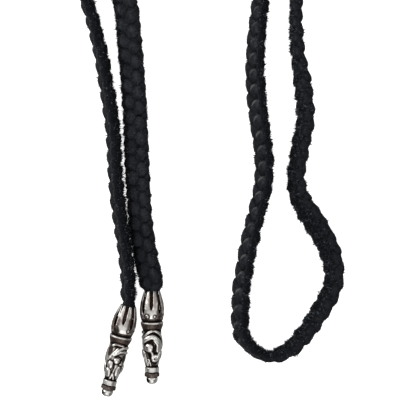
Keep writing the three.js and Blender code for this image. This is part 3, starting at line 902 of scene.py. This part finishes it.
BEADS = (
    # name, along, turn, half length, half width, rise
    ("knob", 0.0187, -16, 0.0014, 0.0015, 0.0006),
    ("body of the comma", 0.0222, 26, 0.0013, 0.0014, 0.0005),
    ("back knob", 0.0183, 194, 0.001, 0.001, 0.0005),
    ("side bead", 0.0189, 226, 0.0008, 0.0007, 0.0004),
    ("oval bead", 0.02, 158, 0.0014, 0.001, 0.0005),
    ("left lobe", 0.0227, 148, 0.0016, 0.0011, 0.00045),
    ("right lobe", 0.0218, 219, 0.0018, 0.0009, 0.00045),
    ("side lobe", 0.0214, 108, 0.0016, 0.0009, 0.00045),
    ("far lobe", 0.021, 262, 0.0016, 0.0009, 0.00045),
)
PITS = (
    # name, along, turn, half length, half width, depth
    ("spot in the comma", 0.0224, 20, 0.0003, 0.0003, 0.0002),
    ("spot on the bullet", 0.0296, -50, 0.0007, 0.0006, 0.00025),
    ("eyelet in the bullet", 0.0297, 126, 0.0008, 0.0006, 0.00025),
)
EYES = (
    # along, turn, radius
    (0.0083, -22, 0.0011),
    (0.0083, 17, 0.00075),
    (0.008, 213, 0.0008),
    (0.0083, 67, 0.0008),
    (0.0083, 112, 0.0007),
    (0.0083, 248, 0.0008),
    (0.0083, 292, 0.0007),
)
print(len(RIDGES), "ridges,", len(BEADS), "beads,", len(PITS), "pits,", len(EYES), "eyes")

# %% Relief
STROKE_STEPS = 24  # of a stroke between two of its points
EYE_RISE, EYE_EDGE = 0.00012, (0.9, 1.15)  # of an eye's disc, and where it falls off, in its radii
GROOVE_DEPTH, GROOVE_PLACE, GROOVE_WIDTH = 0.0002, 0.75, 0.24  # the last two in its radii
EDGE_ROUND = 0.0003  # rounding of the prongs' edges
EDGE_CUT = 0.8  # share of the full rounding that is taken off


def over_tip(along, turn):
    """How far each point of the grid is from a place, along the tip and round it."""
    rise = tip_rows[:, None, None] - along
    swing = np.mod(tip_turns - math.radians(turn) + np.pi, 2 * np.pi) - np.pi
    return rise, swing * tip_radius[:, None, None]


def from_stroke(path):
    """How far each point of the grid is from a curve over the surface."""
    scale = tip_radius.mean() * math.radians(1)  # so that both ways along the curve are lengths
    line = curve_through(np.array([(along, turn * scale) for along, turn in path]), STROKE_STEPS)
    nearest = np.full(tip_turns.shape, 1.0)
    for along, turn in line:
        rise_by, round_by = over_tip(along, turn / scale)
        nearest = np.minimum(nearest, np.hypot(rise_by, round_by))
    return nearest


def dome(distance):
    """Height of a half ball, 1 in the middle and 0 from a distance of 1 on."""
    return np.sqrt(np.clip(1 - distance ** 2, 0, None))


relief = np.zeros_like(tip_turns)
for name, width, rise, path in RIDGES:
    relief = np.maximum(relief, rise * dome(from_stroke(path) / (width / 2)))
for name, along, turn, long, wide, rise in BEADS:
    rise_by, round_by = over_tip(along, turn)
    relief = np.maximum(relief, rise * dome(np.hypot(rise_by / long, round_by / wide)))
for name, along, turn, long, wide, depth in PITS:
    rise_by, round_by = over_tip(along, turn)
    relief -= depth * dome(np.hypot(rise_by / long, round_by / wide))
eye_grooves = np.zeros_like(tip_turns)
for along, turn, size in EYES:
    rise_by, round_by = over_tip(along, turn)
    away = np.hypot(rise_by, round_by) / size
    relief += EYE_RISE * (1 - smooth_step(away, *EYE_EDGE))
    groove = np.exp(-((away - GROOVE_PLACE) / GROOVE_WIDTH) ** 2)
    relief -= GROOVE_DEPTH * groove
    eye_grooves = np.maximum(eye_grooves, groove)
from_edge = np.broadcast_to(tip_rows[:, None, None], relief.shape)
for prong, depth in enumerate(SLOT_DEPTHS):
    rise_by, round_by = over_tip(depth, prong * 360 / PRONGS)
    beside = np.maximum(np.abs(round_by) - slot_half(tip_rows, depth)[:, None, None], 0)
    from_edge = np.minimum(from_edge, np.hypot(np.maximum(rise_by, 0), beside))
near_edge = np.clip(1 - from_edge / EDGE_ROUND, 0, 1)
relief -= EDGE_ROUND * (1 - np.sqrt(1 - near_edge ** 2)) * EDGE_CUT
print("relief from", round(relief.min() * 1000, 2), "to", round(relief.max() * 1000, 2), "mm")

# %% [markdown]
# ## Where the silver is dark
# Cast silver is dipped in liver of sulphur, which turns it brown-black all over, and then polished.
# The polish reaches what stands out and leaves the hollows dark. So the dark share of a point comes
# from how far it lies below the surface round it, which is the radius after a blur. Tables add what
# hand polishing did on this casting: whole bands, lines round the beads, and patches on the cap. The
# patches on the caps' flanks are partly oxide and partly painted shade on the sides.

# %% Oxide tables
DEPTHS = (
    # rows and columns of the blur, depths between which the silver turns dark
    (6, 4, (0.00003, 0.00014)),
    (14, 9, (0.0001, 0.00035)),
)
BANDS = (
    # name, from, to, share of dark, which is below 0 where the polish reaches
    ("prongs", -0.001, 0.0065, 0.25),
    ("foot of the cap", 0.0091, 0.0103, 0.7),
    ("lip of the collar", 0.0103, 0.0108, -1),
    ("below the collar", 0.0108, 0.0131, 0.62),
    ("before the rings", 0.0247, 0.0254, 0.8),
    ("first ring", 0.0256, 0.0267, -1),
    ("second ring", 0.027, 0.0285, 0.55),
    ("bullet", 0.0288, 0.031, -1),
)
HOLLOWS = (
    # name, width, points of distance along the tip and angle round it
    ("round the knob", 0.0008,
     ((0.0178, -45), (0.017, -28), (0.0168, -2), (0.018, 12), (0.0196, 15), (0.0206, 20))),
    ("under the comma", 0.0006, ((0.0226, -6), (0.0238, 8), (0.0241, 30), (0.0232, 56))),
    ("round the back knob", 0.0006, ((0.0172, 176), (0.0168, 196), (0.0174, 218), (0.019, 214))),
    ("between the lobes", 0.0006, ((0.0196, 186), (0.0212, 184), (0.0228, 178))),
)
PATCHES = (
    # name, along, turn, half length, half width, share of dark
    ("below the knob", 0.0212, -9, 0.0014, 0.0006, 0.9),
    # the next seven, on the caps' flanks, are partly oxide and partly painted shade
    ("right of the front cap", 0.0065, 42, 0.0035, 0.0013, 0.55),
    ("left of the back cap", 0.0083, 150, 0.0017, 0.0013, 0.75),
    ("left of the front cap", 0.0055, -58, 0.003, 0.0008, 0.5),
    ("right of the back cap", 0.006, 228, 0.003, 0.0008, 0.5),
    ("far left of the back cap", 0.0055, 128, 0.0035, 0.001, 0.6),
    ("left flank of the back cap", 0.0055, 156, 0.002, 0.0006, 0.5),
    ("right flank of the back cap", 0.0055, 208, 0.0025, 0.0005, 0.5),
    ("spot on the bullet", 0.0296, -50, 0.0009, 0.0008, 1),
    ("eyelet in the bullet", 0.0297, 128, 0.0009, 0.0007, 1),
    ("spot in the comma", 0.0224, 20, 0.0003, 0.0003, 0.9),
    ("left of the slant", 0.0155, 138, 0.0022, 0.0012, 0.75),
    ("right of the back knob", 0.0175, 238, 0.0018, 0.001, 0.7),
    ("spot on the knob", 0.0184, -24, 0.0003, 0.0003, 0.7),
)
print(len(BANDS), "bands,", len(HOLLOWS), "dark lines,", len(PATCHES), "patches")

# %% Oxide
CAP_FOOT = (0.0088, 0.0096)  # along the tip, up to which only the tables make it dark
BAND_EDGE, LINE_EDGE, PATCH_EDGE = (0.75, 1.25), (0.6, 1.2), (0.7, 1.1)  # soft edges, in half widths
BRIGHTEST = -0.4  # below 0, so that the mottle leaves a well polished place bright
GROOVE_DARK = 0.9  # in the eyes


def blur(field, rows, columns):
    """A soft average over rows and, round the tip, over columns, out to three times their reach."""
    for axis, reach in ((0, rows), (1, columns)):
        total, weight = np.zeros_like(field), 0
        for shift in range(-3 * reach, 3 * reach + 1):
            share = math.exp(-0.5 * (shift / reach) ** 2)
            if axis == 1:
                moved = np.roll(field, shift, axis=1)
            else:
                moved = field[np.clip(np.arange(len(field)) + shift, 0, len(field) - 1)]
            total += share * moved
            weight += share
        field = total / weight
    return field


radius = tip_radius[:, None, None] + relief
flat = radius[:, :, :-1].reshape(len(tip_rows), -1)
dark = np.zeros_like(flat)
for rows, columns, limits in DEPTHS:
    dark += smooth_step(blur(flat, rows, columns) - flat, *limits)
dark *= smooth_step(tip_rows, *CAP_FOOT)[:, None]
for name, first, last, share in BANDS:
    away = np.abs(tip_rows - (first + last) / 2) / ((last - first) / 2)
    dark += share * (1 - smooth_step(away, *BAND_EDGE))[:, None]
dark = np.clip(dark, BRIGHTEST, 1).reshape(len(tip_rows), PRONGS, PRONG_COLUMNS)
dark = np.concatenate([dark, np.roll(dark, -1, axis=1)[:, :, :1]], 2)
dark = np.maximum(dark, GROOVE_DARK * eye_grooves)
# dark patches, which on the caps' flanks are partly oxide and partly painted shade
for name, along, turn, long, wide, share in PATCHES:
    rise_by, round_by = over_tip(along, turn)
    away = np.hypot(rise_by / long, round_by / wide)
    dark = np.maximum(dark, share * (1 - smooth_step(away, *PATCH_EDGE)))
for name, width, path in HOLLOWS:
    away = from_stroke(path) / (width / 2)
    dark = np.maximum(dark, 1 - smooth_step(away, *LINE_EDGE))
print("dark share of the tip", round(float(dark.mean()), 2))

# %% [markdown]
# ## Joining the grid
# The outer grid, the socket inside the cap, the sides of the slots and the rim are four sets of faces.
# Slots could be cut with a boolean, but that leaves long thin faces, and the split grid needs none. The
# sides and the rim have points of their own, so that their edges stay sharp. Neighbouring prongs meet
# below their slots, where their points are merged.

# %% Tip grid
SOCKET_DEPTH = 0.0084
SOCKET_OUTLINE = np.array((
    # along, radius
    (0, 0.00245),
    (0.004, 0.0032),
    (0.0065, 0.0032),
    (0.0084, 0.0024),
))


def tip_points(along, turns, radius):
    """Points round the tip's axis, which runs from the mouth at 0 down the Y axis."""
    down = np.broadcast_to(-along, turns.shape)
    return np.stack([radius * np.sin(turns), down, radius * np.cos(turns)], -1)


socket_along = tip_rows[:int(round(SOCKET_DEPTH / ROW_STEP)) + 1]
socket_radius = np.interp(socket_along, *SOCKET_OUTLINE.T)
socket_turns = prong_turns(socket_along, socket_radius)
outside = tip_points(tip_rows[:, None, None], tip_turns, radius)
inside = tip_points(socket_along[:, None, None], socket_turns, socket_radius[:, None, None])
outer = np.arange(tip_turns.size).reshape(tip_turns.shape)
inner = np.arange(socket_turns.size).reshape(socket_turns.shape) + tip_turns.size
floor_number = tip_turns.size + socket_turns.size
all_points = np.vstack([outside.reshape(-1, 3), inside.reshape(-1, 3), [[0, -SOCKET_DEPTH, 0]]])
grid_size = len(all_points)
faces = [
    quads(outer[:-1, :, :-1], outer[1:, :, :-1], outer[1:, :, 1:], outer[:-1, :, 1:]),
    quads(inner[:-1, :, :-1], inner[:-1, :, 1:], inner[1:, :, 1:], inner[1:, :, :-1]),
]
walls = [np.stack([outer[0, prong], inner[0, prong]], 1) for prong in range(PRONGS)]
for prong, depth in enumerate(SLOT_DEPTHS):
    foot = int(round(depth / ROW_STEP)) + 1
    for side, column in ((prong, 0), ((prong - 1) % PRONGS, PRONG_COLUMNS)):
        walls.append(np.stack([outer[:foot, side, column], inner[:foot, side, column]], 1))
for wall in walls:
    own = len(all_points) + np.arange(wall.size).reshape(wall.shape)
    all_points = np.vstack([all_points, all_points[wall.ravel()]])
    faces.append(quads(own[:-1, 0], own[1:, 0], own[1:, 1], own[:-1, 1]))
faces = np.vstack(faces).tolist()
for prong in range(PRONGS):
    for column in range(PRONG_COLUMNS):
        faces.append([int(inner[-1, prong, column]), int(inner[-1, prong, column + 1]), floor_number])
print("tip has", len(walls), "walls")

# %% Tip mesh
MERGE_DISTANCE = 1e-6

silver, silver_tree = new_material("oxidised silver")
tip_mesh = bpy.data.meshes.new("cast tip")
tip_mesh.from_pydata(all_points.tolist(), [], faces)
layer = tip_mesh.attributes.new("oxide", "FLOAT", "POINT")
socket_dark = np.ones(len(all_points) - dark.size)
layer.data.foreach_set("value", np.concatenate([dark.ravel(), socket_dark]).astype(np.float32))
work = bmesh.new()
work.from_mesh(tip_mesh)
work.verts.ensure_lookup_table()
bmesh.ops.remove_doubles(work, verts=work.verts[:grid_size], dist=MERGE_DISTANCE)
bmesh.ops.recalc_face_normals(work, faces=work.faces)
for face in work.faces:
    face.smooth = True
work.to_mesh(tip_mesh)
work.free()
tip_mesh.materials.append(silver)
print("tip", len(tip_mesh.vertices), "points,", len(tip_mesh.polygons), "faces")

# %% [markdown]
# ## Two tips
# Both tips come from one mould, so both pieces are copies of one mesh. The left one leans and lies with
# its other side up. Moving the objects would do as well, but here the points themselves are moved, so
# that the pattern of the silver is not the same on both.

# %% Cast tips
TIPS = (
    # name, the node it replaces, middle of its mouth, lean, turn
    ("cast_tip_right", "tip_right", (-0.0186, -0.0274), 0, 0),
    ("cast_tip_left", "tip_left", (-0.0264, -0.0324), 13.8, 180),
)
tips = []
for name, node, mouth, lean, turn in TIPS:
    tip = bpy.data.objects.new(name, tip_mesh.copy())
    seat = Matrix.Translation((mouth[0] - ORIGIN[0], mouth[1] - ORIGIN[1], CAP_RADIUS))
    seat = seat @ Matrix.Rotation(math.radians(-lean), 4, "Z")
    tip.data.transform(seat @ Matrix.Rotation(math.radians(turn), 4, "Y"))
    bpy.context.scene.collection.objects.link(tip)
    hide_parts(node)
    tips.append(tip)
    print(name, "lies at", mouth, "and leans", lean, "degrees")

# %% [markdown]
# ## Oxidised silver
# Polished silver is almost white and mirrors the room. The oxide in its hollows is a warm brown-black
# and dull. Two materials could be given to different faces, but the edge between them would be hard.
# The dark share kept with each point blends the two, and a fine mottle, drawn out along the tip, breaks
# its edge as hand polishing does.

# %% Silver material
PATINA = 0.0005  # mottle of the oxide
CASTING = 0.00025  # grain of the casting, which is coarser than real so that it shows
TARNISH = (
    # share of dark, colour
    (0, "#f4f2ee"),
    (0.35, "#aca7a2"),
    (0.65, "#625650"),
    (1, "#1a1513"),
)

# Cast silver, hand polished, gives the eye white glints on what stands out and dull brown in between
metal_place = add_node(silver_tree, "ShaderNodeTexCoord")
oxide = add_node(silver_tree, "ShaderNodeAttribute", {"attribute_name": "oxide"})
brushed = add_node(
    silver_tree, "ShaderNodeMapping", Vector=metal_place.outputs["Object"], Scale=(1, 0.35, 1))
patina = add_node(
    silver_tree, "ShaderNodeTexNoise", Vector=brushed.outputs[0], Scale=1 / PATINA, Detail=3.0)
casting = add_node(
    silver_tree, "ShaderNodeTexNoise",
    Vector=metal_place.outputs["Object"], Scale=1 / CASTING, Detail=2.0)
patina_shift = add_node(
    silver_tree, "ShaderNodeMath", {"operation": "MULTIPLY_ADD"},
    i0=patina.outputs["Fac"], i1=0.7, i2=-0.25)
oxide_share = add_node(
    silver_tree, "ShaderNodeMath", {"operation": "ADD", "use_clamp": True},
    i0=oxide.outputs["Fac"], i1=patina_shift.outputs[0])
metal_colour = add_node(silver_tree, "ShaderNodeValToRGB", Fac=oxide_share.outputs[0])
stops = metal_colour.color_ramp.elements
for share, shade in TARNISH[1:-1]:
    stops.new(share)
for stop, (share, shade) in zip(stops, TARNISH):
    stop.position = share
    stop.color = colour(shade)
metal_roughness = add_node(
    silver_tree, "ShaderNodeMapRange", Value=oxide_share.outputs[0], To_Min=0.26, To_Max=0.5)
metal_bump = add_node(
    silver_tree, "ShaderNodeBump", Strength=0.15, Distance=0.0001, Height=casting.outputs["Fac"])
metal = add_node(
    silver_tree, "ShaderNodeBsdfPrincipled", Metallic=1.0,
    Base_Color=metal_colour.outputs[0], Roughness=metal_roughness.outputs[0],
    Normal=metal_bump.outputs[0])
add_node(silver_tree, "ShaderNodeOutputMaterial", Surface=metal.outputs[0])
print("silver nodes", len(silver_tree.nodes))

# %% [markdown]
# ## Joining the frame
# Every piece rides on the one body of this part. The laces stand for both halves of the solid braid.

# %% Join and finish
for piece in laces:
    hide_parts("braid_inner", "braid_outer")
for piece in laces + nap + tips:
    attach(piece, "root")
